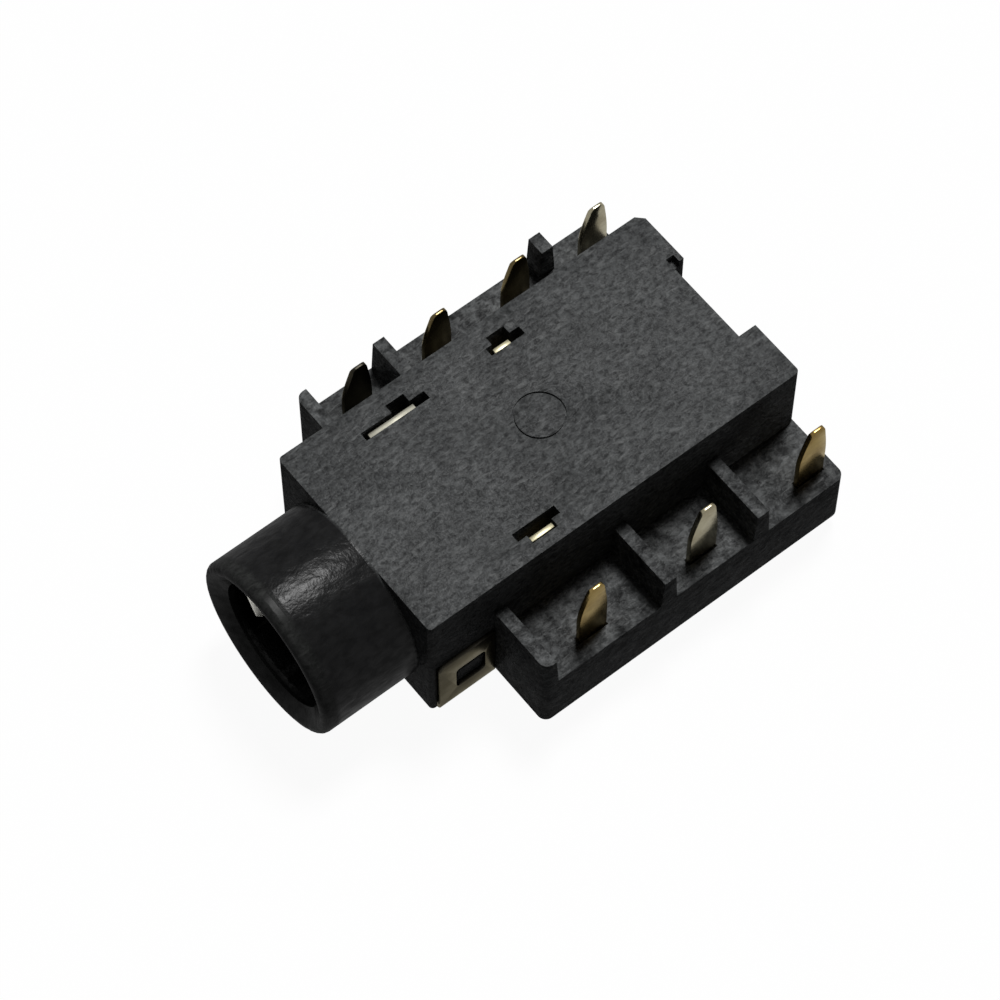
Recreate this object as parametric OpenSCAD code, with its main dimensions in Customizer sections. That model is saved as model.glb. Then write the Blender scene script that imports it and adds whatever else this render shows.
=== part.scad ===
// Low audio jack socket for a 3.5 mm plug, sunk into a cut-out of a circuit board.
// The origin is the centre of the bore's mouth, on the plug's axis. The plug goes in along +Y,
// and the solder pins stand up along +Z. Lengths along the body are taken from its front face.

/* [Body] */
// Width of the body between its two long walls
body_w = 6; // [5.8:0.1:7]
// Length of the body behind the nose
body_l = 11.4; // [11.2:0.1:13]
// Length by which the near side overruns the far side at the rear
near_over = 0.15; // [0.05:0.01:0.25]
// Height of the body
body_h = 4.3; // [4.2:0.05:5]
// Height of the top face above the plug's axis
axis_drop = 2.3; // [2.25:0.05:2.6]
// Radius of the body's upright edges
body_edge_r = 0.12; // [0.05:0.01:0.3]
// Chamfer on the far rear corner
rear_corner = 0.2; // [0.1:0.05:0.5]
// Width of the recess in the rear wall
rear_notch_w = 2.6; // [2:0.1:3.5]
// Depth of the recess in the rear wall
rear_notch_d = 0.38; // [0.2:0.02:0.6]
// Side of the small square relief at the recess's corner
rear_relief = 0.24; // [0.1:0.02:0.4]
// Diameter of the round moulding mark on the top face
mould_mark_d = 1.35; // [0.8:0.05:2]
// Depth of the moulding mark
mould_mark_deep = 0.05; // [0.02:0.01:0.15]
// Place of the moulding mark behind the front face
mould_mark_y = 5.75; // [5:0.05:7]

/* [Nose and bore] */
// Outside diameter of the nose
nose_d = 5; // [4.8:0.1:5.4]
// Length of the nose in front of the body
nose_l = 2.8; // [2.6:0.1:4]
// Radius of the nose's outer rim
nose_rim_r = 0.2; // [0.1:0.05:0.3]
// Diameter of the bore that guides the plug
bore_d = 3.6; // [3.54:0.02:3.7]
// Distance from the end of the guiding bore to the body's front face
guide_back = 1; // [0.8:0.05:1.2]
// Width of the flat rim round the mouth's flare
rim_w = 0.06; // [0.03:0.01:0.2]
// Depth of the mouth's flare
mouth_l = 0.25; // [0.1:0.05:0.4]
// Diameter of the plug's space behind the guiding bore
cavity_d = 3.96; // [3.92:0.02:4.1]
// Diameter of the hole for the plug's tip
tip_hole_d = 2.6; // [2:0.1:3]
// Wall behind the plug's space
rear_wall = 0.6; // [0.4:0.05:0.9]

/* [Flanges] */
// Width of the flange on the near side
near_flange_w = 2; // [1.9:0.1:2.6]
// Width of the flange on the far side
far_flange_w = 1.8; // [1.6:0.1:2.6]
// Start of the near flange behind the front face
near_flange_y = 1.95; // [1.9:0.05:2.2]
// Start of the far flange behind the front face
far_flange_y = 1.8; // [1.6:0.05:2]
// Depth of the flange floors below the top face
flange_drop = 2.45; // [2.2:0.05:2.8]
// Depth of the rib tops, on which the board seats, below the top face
rib_drop = 1.35; // [1.1:0.05:1.6]
// Thickness of a rib at its top
rib_t = 0.35; // [0.2:0.05:0.6]
// Spread of a rib's sloping face down to the floor
rib_slope = 0.2; // [0:0.05:0.3]
// Middle rib of the near flange, behind the first near pin
near_rib_mid_lag = 2.01; // [1.8:0.01:2.2]
// Rear rib of the near flange, behind the second near pin
near_rib_rear_lag = 1.48; // [1.2:0.01:1.9]
// Middle rib of the far flange, behind the first far pin
far_rib_mid_lag = 1.33; // [1.15:0.01:1.4]
// Rear rib of the far flange, behind the third far pin
far_rib_rear_lag = 1.29; // [1.1:0.01:1.4]
// Distance of the far flange's rear rib from the far wall
far_rib_gap = 1.25; // [0.5:0.05:1.4]
// Radius of the flanges' outer corners
flange_edge_r = 0.25; // [0.05:0.05:0.4]

/* [Sheet metal] */
// Thickness of the contact sheet
sheet_t = 0.15; // [0.1:0.01:0.18]
// Radius inside a fold of the sheet
fold_r = 0.1; // [0.05:0.01:0.15]
// Clearance round the sheet in the slots of the housing
slot_gap = 0.03; // [0.02:0.01:0.06]
// Depth of the anchor plates' top edges below the top face
anchor_drop = 0.1; // [0.05:0.05:0.4]
// Depth of the hidden anchor plates' top edges below the top face
hidden_anchor_drop = 0.8; // [0.6:0.05:1]
// Wall between the outside of the body and the contact chambers
chamber_wall = 0.35; // [0.3:0.01:0.4]
// Distance of the inner row of anchor plates from the long walls
anchor_inset = 0.77; // [0.7:0.01:0.85]
// Distance of the outer row of anchor plates from the long walls
outer_anchor_inset = 0.4; // [0.38:0.01:0.42]
// Length of the ground contact's anchor plate
ground_anchor_l = 1.4; // [1.2:0.05:1.6]
// Length of the outer ring contact's anchor plate
ring2_anchor_l = 0.5; // [0.4:0.05:0.7]
// Length of the inner ring contact's anchor plate
ring1_anchor_l = 0.7; // [0.5:0.05:0.8]
// Length of the hidden anchor plates
hidden_anchor_l = 0.6; // [0.5:0.05:0.7]
// Start of the ground contact's anchor plate in front of its pin
ground_anchor_lead = 0.94; // [0.88:0.01:1.1]
// Start of the outer ring contact's anchor plate behind its pin
ring2_anchor_lag = 0.42; // [0.35:0.01:0.48]
// Start of the inner ring contact's anchor plate in front of its pin
ring1_anchor_lead = 0.39; // [0.32:0.01:0.42]
// Start of the tip contact's anchor plate in front of its pin
tip_anchor_lead = 0.7; // [0.6:0.05:0.8]
// Start of the tip switch contact's anchor plate in front of its pin
tip_switch_lead = 0.4; // [0.35:0.01:0.45]
// Start of the plug detector's anchor plate in front of its pin
detect_anchor_lead = 0.35; // [0.3:0.01:0.4]
// Start of the detector switch contact's anchor plate in front of its pin
detect_switch_lead = 0.25; // [0.2:0.01:0.3]

/* [Openings over the anchor plates] */
// Width of an opening
slot_w = 0.25; // [0.22:0.01:0.3]
// Start of a far opening in front of its anchor plate
slot_lead = 0.15; // [0.1:0.05:0.25]
// End of a far opening behind its anchor plate
slot_lag = 0.4; // [0.3:0.05:0.45]
// Length by which the near opening overruns its anchor plate at both ends
near_slot_over = 0.3; // [0.2:0.05:0.35]
// Width of the notch on an opening's outer side
notch_w = 0.25; // [0.22:0.01:0.28]
// Length of a far opening's notch
notch_l = 0.55; // [0.4:0.05:0.6]
// Start of the ground opening's notch in front of its plate's rear end
ground_notch_back = 0.6; // [0.5:0.05:0.8]
// Start of the outer ring opening's notch in front of its plate's rear end
ring2_notch_back = 0.45; // [0.4:0.05:0.5]

/* [Solder pins] */
// Width of a pin
pin_w = 0.85; // [0.6:0.05:1]
// Width of a pin's blunt tip
pin_tip_w = 0.42; // [0.3:0.02:0.5]
// Radius of the corners of a pin's tip
pin_tip_r = 0.12; // [0.05:0.01:0.14]
// Distance of a pin's tip behind the pin's middle
pin_skew = 0.1; // [0:0.01:0.12]
// Length of a pin's tapering end
pin_taper_l = 1.3; // [0.8:0.05:1.5]
// Depth of the pin tips below the top face
pin_drop = 0.2; // [0.1:0.02:0.6]
// Length of the bevels at a pin's tip
coin_l = 0.12; // [0.08:0.01:0.3]
// Thickness of a pin's tip between its bevels
coin_t = 0.08; // [0.04:0.01:0.09]
// Distance of the near pins from the near wall
near_pin_out = 1.44; // [1.2:0.02:1.6]
// Distance of the far pins from the far wall
far_pin_out = 0.95; // [0.8:0.05:1.2]
// First near pin behind the front face
near_pin_y = 3.84; // [3.74:0.02:4]
// Last near pin in front of the far side's rear face
near_pin_rear = 0.6; // [0.5:0.05:0.7]
// First far pin behind the front face
far_pin_y = 3.09; // [3:0.01:3.2]
// Last far pin in front of the rear face
far_pin_rear = 0.75; // [0.7:0.05:0.8]

/* [Springs] */
// Height of the spring arms
arm_h = 1.2; // [0.8:0.05:1.4]
// Reach of the arms into the plug's way
arm_reach = 0.25; // [0.15:0.01:0.3]
// Radius of an arm's rolled root
root_r = 0.1; // [0.09:0.01:0.12]
// Gap between an arm's root and its anchor plate
root_gap = 0.04; // [0.03:0.01:0.08]
// Length of a ring arm beyond its crest
arm_tail = 0.3; // [0.2:0.05:0.4]
// Rise of a ring arm's end from its crest
tail_rise = 0.09; // [0.05:0.01:0.12]
// Room between a ring arm's end and the end of its chamber
arm_room = 0.3; // [0.2:0.05:0.35]
// Room above the arms in their chambers
roof_room = 0.2; // [0.1:0.05:0.3]
// Diameter of the plug that the socket takes
plug_d = 3.5; // [3.4:0.01:3.52]
// Length of the outer ring's arm from its root to its crest
ring2_arm_l = 2.49; // [2.3:0.01:2.6]
// Length of the inner ring's arm from its root to its crest
ring1_arm_l = 1.51; // [1.4:0.01:1.6]
// Place of the crest along the tip's arm, as a share of its length
tip_crest_at = 0.61; // [0.58:0.01:0.64]
// Place of the crest along the plug detector's arm, as a share of its length
detect_crest_at = 0.8; // [0.76:0.01:0.82]
// Diameter of the plug's tip at the detector
detect_plug_d = 3; // [2.8:0.05:3.2]
// Gap that the tip's arm closes to reach its switch finger
tip_open = 0.53; // [0.5:0.01:0.55]
// Gap that the detector's arm closes to reach its switch finger
detect_open = 0.39; // [0.36:0.01:0.42]
// End of the tip's arm in front of its switch contact's plate
tip_end_lead = 0.35; // [0.3:0.01:0.4]
// End of the detector's arm in front of its switch contact's plate
detect_end_lead = 0.15; // [0.12:0.01:0.2]
// Length of a switch finger in front of the arm's end
finger_overlap = 0.45; // [0.3:0.05:0.5]

/* [Ground spring] */
// Distance of the ground spring's crest in front of the body's front face
ground_crest_lead = 0.2; // [0.1:0.05:0.3]
// Reach of the ground spring into the plug's way
ground_reach = 0.1; // [0.05:0.01:0.12]
// Depth of the ground spring's front end behind the mouth
ground_tip_depth = 0.7; // [0.6:0.02:0.8]
// Height of the ground spring
ground_h = 1.1; // [0.8:0.05:1.15]
// Turn of the ground spring round the plug's axis, down from the level
ground_turn = 30; // [26:1:32]
// Radius of the ground spring's front corners
ground_corner_r = 0.4; // [0.1:0.05:0.45]
// Distance of the ground spring's front end outside the bore's wall
ground_tip_out = 0.1; // [0.08:0.01:0.12]
// Room in front of the ground spring
ground_room = 0.12; // [0.08:0.01:0.2]
// Wall of the nose outside the ground spring's pocket
ground_wall = 0.2; // [0.15:0.01:0.22]
// Start of the far chamber behind the front face
far_room_y = 0.35; // [0.3:0.05:0.5]

/* [Ground strap] */
// Start of the strap under the body, behind the front face
strap_y = 0.2; // [0.1:0.05:0.4]
// Depth of the latch ear's top edge below the top face
ear_drop = 2.25; // [2:0.05:2.6]
// Amount that the latch ear stands proud of the near wall
ear_proud = 0.1; // [0.05:0.01:0.15]
// Cut at the latch ear's front top corner
ear_corner = 0.14; // [0.05:0.01:0.2]
// Width of the strip that joins the strap to the ground contact's foot
strap_side_w = 0.6; // [0.4:0.05:0.8]
// Side of the square window in the latch ear
window = 0.9; // [0.7:0.05:1]
// Depth of the window's top edge below the top face
window_drop = 2.85; // [2.7:0.05:3]
// Offset of the window behind the middle of the latch ear
window_lag = 0.1; // [0:0.02:0.12]
// Radius of the window's corners
window_r = 0.12; // [0.05:0.01:0.15]
// Clearance between the window and the boss that it snaps over
window_gap = 0.06; // [0.03:0.01:0.1]

/* [Hidden] */
$fn = 64;

// Steps of the curved outlines, and the parts of an arm that curve over its crest
pin_steps = 8;
corner_steps = 5;
arm_steps = 10;
crest_lead = 0.25;
crest_tail = 0.8;

// The two sides of the body
near = 1;
far = -1;

// Heights in the plug's frame
top_z = axis_drop;
bottom_z = axis_drop - body_h;
floor_z = axis_drop - flange_drop;
rib_z = axis_drop - rib_drop;
cut = 0.5;

// Distances from the middle plane
wall_x = body_w / 2;
chamber_x = wall_x - chamber_wall;
anchor_x = wall_x - anchor_inset - sheet_t;
outer_anchor_x = wall_x - outer_anchor_inset - sheet_t;
plug_r = plug_d / 2;
bore_r = bore_d / 2;
mouth_r = nose_d / 2 - nose_rim_r - rim_w;
arm_x = plug_r - arm_reach;

// Lengths behind the front face
guide_l = nose_l - guide_back;
near_end = body_l + near_over;
cavity_end = body_l - rear_notch_d - rear_wall;
far_pins = 4;
near_pins = 3;
far_pin_pitch = (body_l - far_pin_y - far_pin_rear) / (far_pins - 1);
near_pin_pitch = (body_l - near_pin_y - near_pin_rear) / (near_pins - 1);
far_pin = [for (i = [0:far_pins - 1]) far_pin_y + i * far_pin_pitch];
near_pin = [for (i = [0:near_pins - 1]) near_pin_y + i * near_pin_pitch];
strap_end = near_flange_y - slot_gap;
window_y = (strap_y + strap_end - window) / 2 + window_lag;

// Heights of the sheet metal
open_top = top_z - anchor_drop;
hidden_top = top_z - hidden_anchor_drop;
tip_z = top_z - pin_drop;
strap_z = bottom_z - sheet_t;
ear_z = top_z - ear_drop;
window_z = top_z - window_drop;
chamber_z = arm_h / 2 + roof_room;
bend_r = fold_r + sheet_t;

// A contact is its side, its pin's place, the start and length of its anchor plate, the plate's
// distance from the middle plane, the height of its top edge and the level of its foot
ground = [far, far_pin[0], far_pin[0] - ground_anchor_lead, ground_anchor_l, anchor_x, open_top, strap_z];
ring2 = [far, far_pin[1], far_pin[1] + ring2_anchor_lag, ring2_anchor_l, anchor_x, open_top, bottom_z];
detect = [
    far, far_pin[2], far_pin[2] - detect_anchor_lead, hidden_anchor_l, anchor_x, hidden_top, bottom_z
];
detect_switch = [
    far, far_pin[3], far_pin[3] - detect_switch_lead, hidden_anchor_l, outer_anchor_x, hidden_top, bottom_z
];
ring1 = [
    near, near_pin[0], near_pin[0] - ring1_anchor_lead, ring1_anchor_l, outer_anchor_x, open_top, bottom_z
];
tip = [near, near_pin[1], near_pin[1] - tip_anchor_lead, hidden_anchor_l, anchor_x, hidden_top, bottom_z];
tip_switch = [
    near, near_pin[2], near_pin[2] - tip_switch_lead, hidden_anchor_l, outer_anchor_x, hidden_top, bottom_z
];
contacts = [ground, ring2, detect, detect_switch, ring1, tip, tip_switch];

function hand(c) = c[0];
function pin_y(c) = c[1];
function anchor_y(c) = c[2];
function anchor_end(c) = c[2] + c[3];
function plate_x(c) = c[4];
function plate_top(c) = c[5];
function foot_z(c) = c[6];
function pin_x(c) = wall_x + (hand(c) == near ? near_pin_out : far_pin_out);
function foot_y(c) = min(anchor_y(c), pin_y(c) - pin_w / 2);
function foot_end(c) = max(anchor_end(c), pin_y(c) + pin_w / 2);

// Place of an arm's root at the rear or the front end of its anchor plate
function rear_root(c) = [plate_x(c) + sheet_t / 2, anchor_end(c) + root_gap + root_r];
function front_root(c) = [plate_x(c) + sheet_t / 2, anchor_y(c) - root_gap - root_r];

// Crests and ends of the arms, as distances from the middle plane and behind the front face
ring2_crest = [arm_x + sheet_t / 2, front_root(ring2)[1] - ring2_arm_l];
ring2_end = ring2_crest + [tail_rise, -arm_tail];
ring1_crest = [arm_x + sheet_t / 2, rear_root(ring1)[1] + ring1_arm_l];
ring1_end = ring1_crest + [tail_rise, arm_tail];
tip_end = [outer_anchor_x - tip_open, anchor_y(tip_switch) - tip_end_lead];
tip_crest = [arm_x + sheet_t / 2, part_way(rear_root(tip)[1], tip_end[1], tip_crest_at)];
detect_end = [outer_anchor_x - detect_open, anchor_y(detect_switch) - detect_end_lead];
detect_crest = [
    detect_plug_d / 2 - arm_reach + sheet_t / 2,
    part_way(rear_root(detect)[1], detect_end[1], detect_crest_at)
];
ground_root = [front_root(ground)[0] / cos(ground_turn), front_root(ground)[1]];
ground_crest = [plug_r - ground_reach + sheet_t / 2, -ground_crest_lead];
ground_end = [bore_r + ground_tip_out + sheet_t / 2, ground_tip_depth + sheet_t / 2 - nose_l];

function part_way(from, to, share) = from + (to - from) * share;

// Puts what is drawn from the front face in the plug's frame, on the near or the far side
module behind_front(side = near) {
    translate([0, nose_l, 0])
        if (side == near)
            children();
        else
            mirror([1, 0, 0])
                children();
}

module block(from, to) {
    translate(from)
        cube(to - from);
}

// Profile in the plane of the length and the height, drawn out along X
module along_x(from, to) {
    translate([from, 0, 0])
        rotate([90, 0, 90])
            linear_extrude(to - from)
                children();
}

// Profile in the plane of the width and the height, drawn out along Y
module along_y(from, to) {
    translate([0, to, 0])
        rotate([90, 0, 0])
            linear_extrude(to - from)
                children();
}

// Flat plate with four round corners
module round_plate(from, to, r) {
    translate([from[0] + r, from[1]])
        square([to[0] - from[0] - 2 * r, to[1] - from[1]]);
    translate([from[0], from[1] + r])
        square([to[0] - from[0], to[1] - from[1] - 2 * r]);
    for (x = [from[0] + r, to[0] - r], y = [from[1] + r, to[1] - r])
        translate([x, y])
            circle(r);
}

// Housing

module body_block() {
    behind_front()
        difference() {
            translate([0, 0, bottom_z])
                linear_extrude(body_h) {
                    round_plate([-wall_x, 0], [wall_x, body_l], body_edge_r);
                    round_plate([0, body_l / 2], [wall_x, near_end], body_edge_r);
                }
            translate([-wall_x, body_l, bottom_z - cut])
                linear_extrude(body_h + 2 * cut)
                    polygon([[-cut, cut], [-cut, -rear_corner - cut], [rear_corner + cut, cut]]);
        }
}

module nose() {
    rotate([-90, 0, 0])
        rotate_extrude()
            difference() {
                union() {
                    square([nose_d / 2 - nose_rim_r, nose_l]);
                    translate([0, nose_rim_r])
                        square([nose_d / 2, nose_l - nose_rim_r]);
                    translate([nose_d / 2 - nose_rim_r, nose_rim_r])
                        circle(nose_rim_r);
                }
                translate([-nose_d, -cut])
                    square([nose_d, nose_l + 2 * cut]);
            }
}

// The first rib closes the front of a flange with an upright face
module front_rib(y, width) {
    along_x(wall_x, wall_x + width)
        polygon([[y, bottom_z], [y, rib_z], [y + rib_t, rib_z], [y + rib_t + rib_slope, bottom_z]]);
}

// A rib between two pins starts at the wall, or at a gap from it
module rib(y, width, gap = 0) {
    along_x(wall_x + gap, wall_x + width)
        polygon([
            [y - rib_t / 2 - rib_slope, bottom_z], [y - rib_t / 2, rib_z],
            [y + rib_t / 2, rib_z], [y + rib_t / 2 + rib_slope, bottom_z]
        ]);
}

module flange(side, y, end, width, mid_y, rear_y, rear_gap = 0) {
    behind_front(side)
        intersection() {
            union() {
                block([wall_x - body_edge_r, y, bottom_z], [wall_x + width, end, floor_z]);
                front_rib(y, width);
                rib(mid_y, width);
                rib(rear_y, width, rear_gap);
            }
            translate([0, 0, bottom_z])
                linear_extrude(body_h)
                    round_plate([0, y], [wall_x + width, end], flange_edge_r);
        }
}

// Boss that the ground strap's ear snaps over, with a slope that leads the ear on
module latch_boss() {
    boss_top = window_z - window_gap;
    boss_low = window_z - window + window_gap;
    behind_front()
        along_y(window_y + window_gap, window_y + window - window_gap)
            polygon([
                [wall_x - sheet_t, boss_low], [wall_x - sheet_t, boss_top],
                [wall_x + ear_proud, boss_top], [wall_x, boss_low]
            ]);
}

module plug_way() {
    rotate([-90, 0, 0]) {
        translate([0, 0, -cut])
            cylinder(r = bore_r, h = guide_l + cut);
        translate([0, 0, -mouth_l])
            cylinder(r1 = 2 * mouth_r - bore_r, r2 = bore_r, h = 2 * mouth_l);
    }
    // The space behind the guiding bore is flat above and below
    intersection() {
        rotate([-90, 0, 0])
            translate([0, 0, guide_l])
                cylinder(r = cavity_d / 2, h = nose_l + cavity_end - guide_l);
        block([-wall_x, 0, -bore_r], [wall_x, nose_l + body_l, bore_r]);
    }
    rotate([-90, 0, 0])
        cylinder(r = tip_hole_d / 2, h = nose_l + body_l);
}

// Room for a row of spring arms, open below
module chamber(side, from, to, roof) {
    behind_front(side)
        block([arm_x - arm_reach, from, bottom_z - cut], [chamber_x, to, roof]);
}

module chambers() {
    chamber(far, far_room_y, anchor_end(ring2) + slot_gap, chamber_z);
    chamber(far, foot_y(detect), cavity_end, chamber_z);
    chamber(near, foot_y(ring1), ring1_end[1] + arm_room, chamber_z);
    chamber(near, anchor_y(tip) - slot_gap, cavity_end, chamber_z);
    // Pocket in the nose's far wall, into which the ground spring moves
    pocket_half = ground_h / 2 + slot_gap;
    behind_front(far)
        rotate([0, ground_turn, 0])
            block(
                [plug_r - sheet_t, ground_tip_depth - nose_l - ground_room, -pocket_half],
                [nose_d / 2 - ground_wall, far_room_y + cut, pocket_half]
            );
}

// Slot for an anchor plate, channel for its foot and hole for its pin, with room for the folds
module contact_room(c) {
    plate_end = plate_x(c) + sheet_t;
    pin_start = pin_x(c) - sheet_t / 2;
    pin_end = pin_x(c) + sheet_t / 2;
    fold_top = foot_z(c) + bend_r + slot_gap;
    behind_front(hand(c)) {
        block(
            [plate_x(c) - slot_gap, anchor_y(c) - slot_gap, bottom_z - cut],
            [plate_end + slot_gap, anchor_end(c) + slot_gap, plate_top(c) + slot_gap]
        );
        block(
            [plate_end, anchor_y(c) - slot_gap, bottom_z - cut],
            [plate_end + fold_r + slot_gap, anchor_end(c) + slot_gap, fold_top]
        );
        block(
            [plate_x(c) - slot_gap, foot_y(c) - slot_gap, bottom_z - cut],
            [pin_end + slot_gap, foot_end(c) + slot_gap, foot_z(c) + sheet_t]
        );
        block(
            [pin_start - fold_r - slot_gap, pin_y(c) - pin_w / 2 - slot_gap, bottom_z - cut],
            [pin_start, pin_y(c) + pin_w / 2 + slot_gap, fold_top]
        );
        block(
            [pin_start - slot_gap, pin_y(c) - pin_w / 2 - slot_gap, bottom_z - cut],
            [pin_end + slot_gap, pin_y(c) + pin_w / 2 + slot_gap, top_z]
        );
    }
}

// Opening in the top face over an anchor plate: a long slot with a short notch on its outer side
module top_slot(side, from, to, inner, notch_from, notch_to) {
    outer = inner + slot_w;
    behind_front(side) {
        block([inner, from, 0], [outer, to, top_z + cut]);
        block([outer - slot_gap, notch_from, 0], [outer + notch_w, notch_to, top_z + cut]);
    }
}

module far_top_slot(c, notch_back) {
    notch_y = anchor_end(c) - notch_back;
    top_slot(far, anchor_y(c) - slot_lead, anchor_end(c) + slot_lag, plate_x(c) - slot_gap,
        notch_y, notch_y + notch_l);
}

module top_slots() {
    far_top_slot(ground, ground_notch_back);
    far_top_slot(ring2, ring2_notch_back);
    top_slot(near, anchor_y(ring1) - near_slot_over, anchor_end(ring1) + near_slot_over,
        outer_anchor_x - slot_gap - slot_w, anchor_y(ring1) - slot_gap, anchor_end(ring1) + slot_gap);
}

module rear_notch() {
    behind_front() {
        block(
            [-rear_notch_w / 2, body_l - rear_notch_d, bottom_z - cut],
            [rear_notch_w / 2, body_l + cut, top_z + cut]
        );
        block(
            [-rear_notch_w / 2 - rear_relief, body_l - rear_notch_d, top_z - rear_relief],
            [-rear_notch_w / 2, body_l - rear_notch_d + rear_relief, top_z + cut]
        );
    }
}

module mould_mark() {
    behind_front()
        translate([0, mould_mark_y, top_z - mould_mark_deep])
            difference() {
                cylinder(d = mould_mark_d, h = cut);
                cylinder(d = mould_mark_d - 2 * mould_mark_deep, h = cut);
            }
}

module ear_recess() {
    ear_x = wall_x + ear_proud - sheet_t;
    from_y = strap_y - slot_gap;
    to_y = strap_end + slot_gap;
    behind_front() {
        block([ear_x, from_y, bottom_z - cut], [wall_x + cut, to_y, ear_z + slot_gap]);
        block([ear_x - fold_r, from_y, bottom_z - cut], [ear_x, to_y, bottom_z + fold_r]);
    }
}

module housing() {
    color("#3b3d3e") {
        difference() {
            union() {
                body_block();
                nose();
                flange(near, near_flange_y, near_end, near_flange_w, near_pin[0] + near_rib_mid_lag,
                    near_pin[1] + near_rib_rear_lag);
                flange(far, far_flange_y, body_l, far_flange_w, far_pin[0] + far_rib_mid_lag,
                    far_pin[2] + far_rib_rear_lag, far_rib_gap);
            }
            plug_way();
            chambers();
            for (c = contacts)
                contact_room(c);
            top_slots();
            rear_notch();
            mould_mark();
            ear_recess();
        }
        latch_boss();
    }
}

// Contacts

// One edge of a solder pin: straight, drawn in along a curve, then round to the top of its blunt tip
function pin_edge(side, draw, low) =
    let (
        half = pin_w / 2,
        lean = atan(draw * PI / 2 / pin_taper_l),
        corner = [half - draw - pin_tip_r * cos(lean), tip_z - pin_tip_r],
        taper_end = corner[1] + pin_tip_r * sin(lean),
        taper = [for (i = [0:pin_steps]) [
            half - draw * (1 - cos(90 * i / pin_steps)),
            taper_end - pin_taper_l * (1 - i / pin_steps)
        ]],
        round_end = [for (i = [1:corner_steps])
            let (turn = part_way(lean, 90, i / corner_steps))
                corner + pin_tip_r * [cos(turn), sin(turn)]]
    )
    [for (p = concat([[half, low]], taper, round_end)) [side * p[0], p[1]]];

// Outline of a solder pin, whose front edge draws in more than the rear one
module pin_outline(c) {
    draw = (pin_w - pin_tip_w) / 2;
    front = pin_edge(-1, draw + pin_skew, foot_z(c));
    rear = pin_edge(1, draw - pin_skew, foot_z(c));
    translate([pin_y(c), 0])
        polygon(concat(front, [for (i = [len(rear) - 1:-1:0]) rear[i]]));
}

// Folded strip seen along the body: plate, foot and pin with round folds, the pin's tip bevelled
module fold_profile(c) {
    pin_start = pin_x(c) - sheet_t / 2;
    pin_end = pin_x(c) + sheet_t / 2;
    coin_in = (sheet_t - coin_t) / 2;
    difference() {
        round_plate([plate_x(c), foot_z(c)], [pin_end, top_z + bend_r], bend_r);
        round_plate([plate_x(c) + sheet_t, foot_z(c) + sheet_t], [pin_start, top_z + 2 * bend_r], fold_r);
        polygon([[pin_start, tip_z - coin_l], [pin_start + coin_in, tip_z], [pin_start, tip_z]]);
        polygon([[pin_end, tip_z - coin_l], [pin_end, tip_z], [pin_end - coin_in, tip_z]]);
    }
}

// Fixed half of a contact: anchor plate, foot under the flange and solder pin, folded from one strip
module terminal(c) {
    middle_x = (plate_x(c) + pin_x(c)) / 2;
    behind_front(hand(c))
        intersection() {
            along_y(foot_y(c), foot_end(c))
                fold_profile(c);
            union() {
                block([plate_x(c), anchor_y(c), foot_z(c)], [middle_x, anchor_end(c), plate_top(c)]);
                block(
                    [plate_x(c) + bend_r, foot_y(c), foot_z(c)],
                    [pin_x(c) - bend_r, foot_end(c), foot_z(c) + sheet_t]
                );
                along_x(middle_x, pin_x(c) + sheet_t / 2)
                    pin_outline(c);
            }
        }
}

// Outline of a strip of sheet whose middle line runs through the given points
function strip_side(p, d) = [for (i = [0:len(p) - 1])
    let (a = p[max(i - 1, 0)], b = p[min(i + 1, len(p) - 1)], t = (b - a) / norm(b - a))
        p[i] + d * [-t[1], t[0]]];
function strip_outline(p, d) = let (other = strip_side(p, d))
    concat(strip_side(p, -d), [for (i = [len(p) - 1:-1:0]) other[i]]);

// Middle line of a spring arm: straight from its root, round over the crest, straight to its end
function bend_point(a, b, c, u) = (1 - u) * (1 - u) * a + 2 * u * (1 - u) * b + u * u * c;
function arm_line(root, crest, end) =
    let (
        a = part_way(crest, root, crest_lead),
        c = part_way(crest, end, crest_tail),
        b = 2 * crest - (a + c) / 2
    )
    concat([root], [for (i = [0:arm_steps]) bend_point(a, b, c, i / arm_steps)], [end]);

// Flexing half of a contact: a strip with a round root, which leans into the plug's way
module arm_strip(root, crest, end) {
    polygon(strip_outline(arm_line(root, crest, end), sheet_t / 2));
    translate(root)
        circle(root_r);
}

module spring_arm(side, root, crest, end) {
    behind_front(side)
        translate([0, 0, -arm_h / 2])
            linear_extrude(arm_h)
                arm_strip(root, crest, end);
}

// Finger of a switch contact, just beyond the end of the arm that closes on it
module switch_finger(c, from) {
    behind_front(hand(c))
        block([plate_x(c), from, -arm_h / 2], [plate_x(c) + sheet_t, anchor_end(c), arm_h / 2]);
}

// Strap under the body, folded up to an ear with a square window on the near wall
module latch_strap() {
    reach = plate_x(ground) + strap_side_w;
    behind_front()
        difference() {
            intersection() {
                along_y(strap_y, strap_end)
                    difference() {
                        round_plate([-reach - bend_r, strap_z], [wall_x + ear_proud, top_z], bend_r);
                        round_plate(
                            [-reach - 2 * bend_r, bottom_z],
                            [wall_x + ear_proud - sheet_t, top_z + bend_r], fold_r
                        );
                    }
                along_x(-reach, wall_x + ear_proud)
                    polygon([
                        [strap_y, strap_z], [strap_end, strap_z], [strap_end, ear_z],
                        [strap_y + ear_corner, ear_z], [strap_y, ear_z - ear_corner]
                    ]);
            }
            along_x(wall_x - sheet_t, wall_x + cut)
                round_plate([window_y, window_z - window], [window_y + window, window_z], window_r);
        }
}

module ground_contact() {
    color("#8f8a7c") {
        terminal(ground);
        latch_strap();
        behind_front(far)
            block(
                [plate_x(ground) + bend_r, strap_y, strap_z],
                [plate_x(ground) + strap_side_w, anchor_end(ground), bottom_z]
            );
    }
}

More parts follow.
